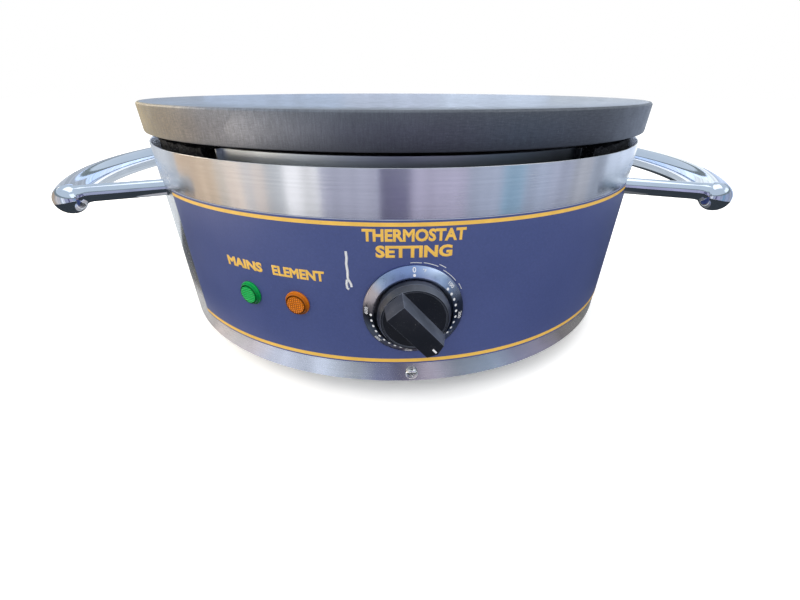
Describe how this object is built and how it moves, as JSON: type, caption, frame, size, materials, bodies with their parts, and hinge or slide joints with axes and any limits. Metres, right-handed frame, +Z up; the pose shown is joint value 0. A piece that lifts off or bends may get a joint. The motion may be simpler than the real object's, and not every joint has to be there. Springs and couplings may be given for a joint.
{
  "type": "electric crepe maker",
  "caption": "Free-standing round electric crepe maker: a flat iron griddle plate on a rolled steel body with side handles, rubber feet, pilot lamps and a thermostat knob.",
  "frame": {"origin": "on the surface the feet stand on, below the centre of the griddle plate", "axes": "+Z up along the plate's axis, -Y the front with the thermostat knob, +X to the right seen from the front"},
  "size_m": [0.5222, 0.447, 0.1766],
  "materials": {
    "plate_iron": "fine machined, seasoned, satin",
    "steel_zinc": "zinc plated",
    "element_steel": "heat-darkened tube",
    "inner_sheet": "aluminised steel sheet, satin",
    "mineral_wool": "matted mineral wool, browned by heat",
    "bush_ceramic": "unglazed",
    "body_steel": "satin brushed",
    "shield_steel": "satin, slightly tarnished",
    "control_film": "printed film, semi-gloss",
    "foot_rubber": "moulded",
    "handle_chrome": "polished",
    "bezel_black": "satin-gloss moulding",
    "knob_black": "satin moulding",
    "pointer_white": "moulded insert",
    "copper_tube": "drawn copper",
    "lens_green": "prismed translucent lens",
    "lens_amber": "faceted translucent lens",
    "moulding_black": "glass-filled nylon",
    "block_white": "moulded",
    "terminal_brass": "plated screws",
    "wire_sleeve": "braided heat-resistant sleeve"
  },
  "bodies": {
    "housing": {"griddle_plate": "plate_iron", "plate_studs": "steel_zinc", "stud_nuts": "steel_zinc", "support_columns": "steel_zinc", "foot_screws": "steel_zinc", "foot_washers": "steel_zinc", "foot_nuts": "steel_zinc", "handle_screws": "steel_zinc", "handle_washers": "steel_zinc", "dial_screws": "steel_zinc", "earth_stud": "steel_zinc", "bulb_spring": "steel_zinc", "heating_element": "element_steel", "element_clamp_plate": "inner_sheet", "insulation_pan": "inner_sheet", "base_plate": "inner_sheet", "thermostat_body": "inner_sheet", "insulation_pad": "mineral_wool", "side_insulation": "mineral_wool", "element_bushes": "bush_ceramic", "body_shell": "body_steel", "base_screws": "body_steel", "heat_shield": "shield_steel", "control_overlay": "control_film", "foot_front_left": "foot_rubber", "foot_front_right": "foot_rubber", "foot_rear_left": "foot_rubber", "foot_rear_right": "foot_rubber", "cable_gland_seal": "foot_rubber", "left_handle": "handle_chrome", "right_handle": "handle_chrome", "dial_bezel": "bezel_black", "thermostat_bulb": "copper_tube", "thermostat_capillary": "copper_tube", "green_lamp_lens": "lens_green", "amber_lamp_lens": "lens_amber", "green_lamp_body": "moulding_black", "amber_lamp_body": "moulding_black", "lamp_nuts": "moulding_black", "cable_gland_body": "moulding_black", "cable_gland_lock_nut": "moulding_black", "cable_gland_dome": "moulding_black", "terminal_block": "block_white", "block_screws": "terminal_brass", "internal_wiring": "wire_sleeve"},
    "thermostat_knob": {"control_knob": "knob_black", "knob_pointer_mark": "pointer_white", "knob_clip": "steel_zinc", "thermostat_spindle": "steel_zinc"}
  },
  "joints": [
    {"name": "thermostat_turn", "type": "hinge", "parent": "housing", "child": "thermostat_knob", "pos_m": [0, -0.2015, 0.0738], "axis": [0, 1, 0], "range_deg": [-139, 136]}
  ]
}
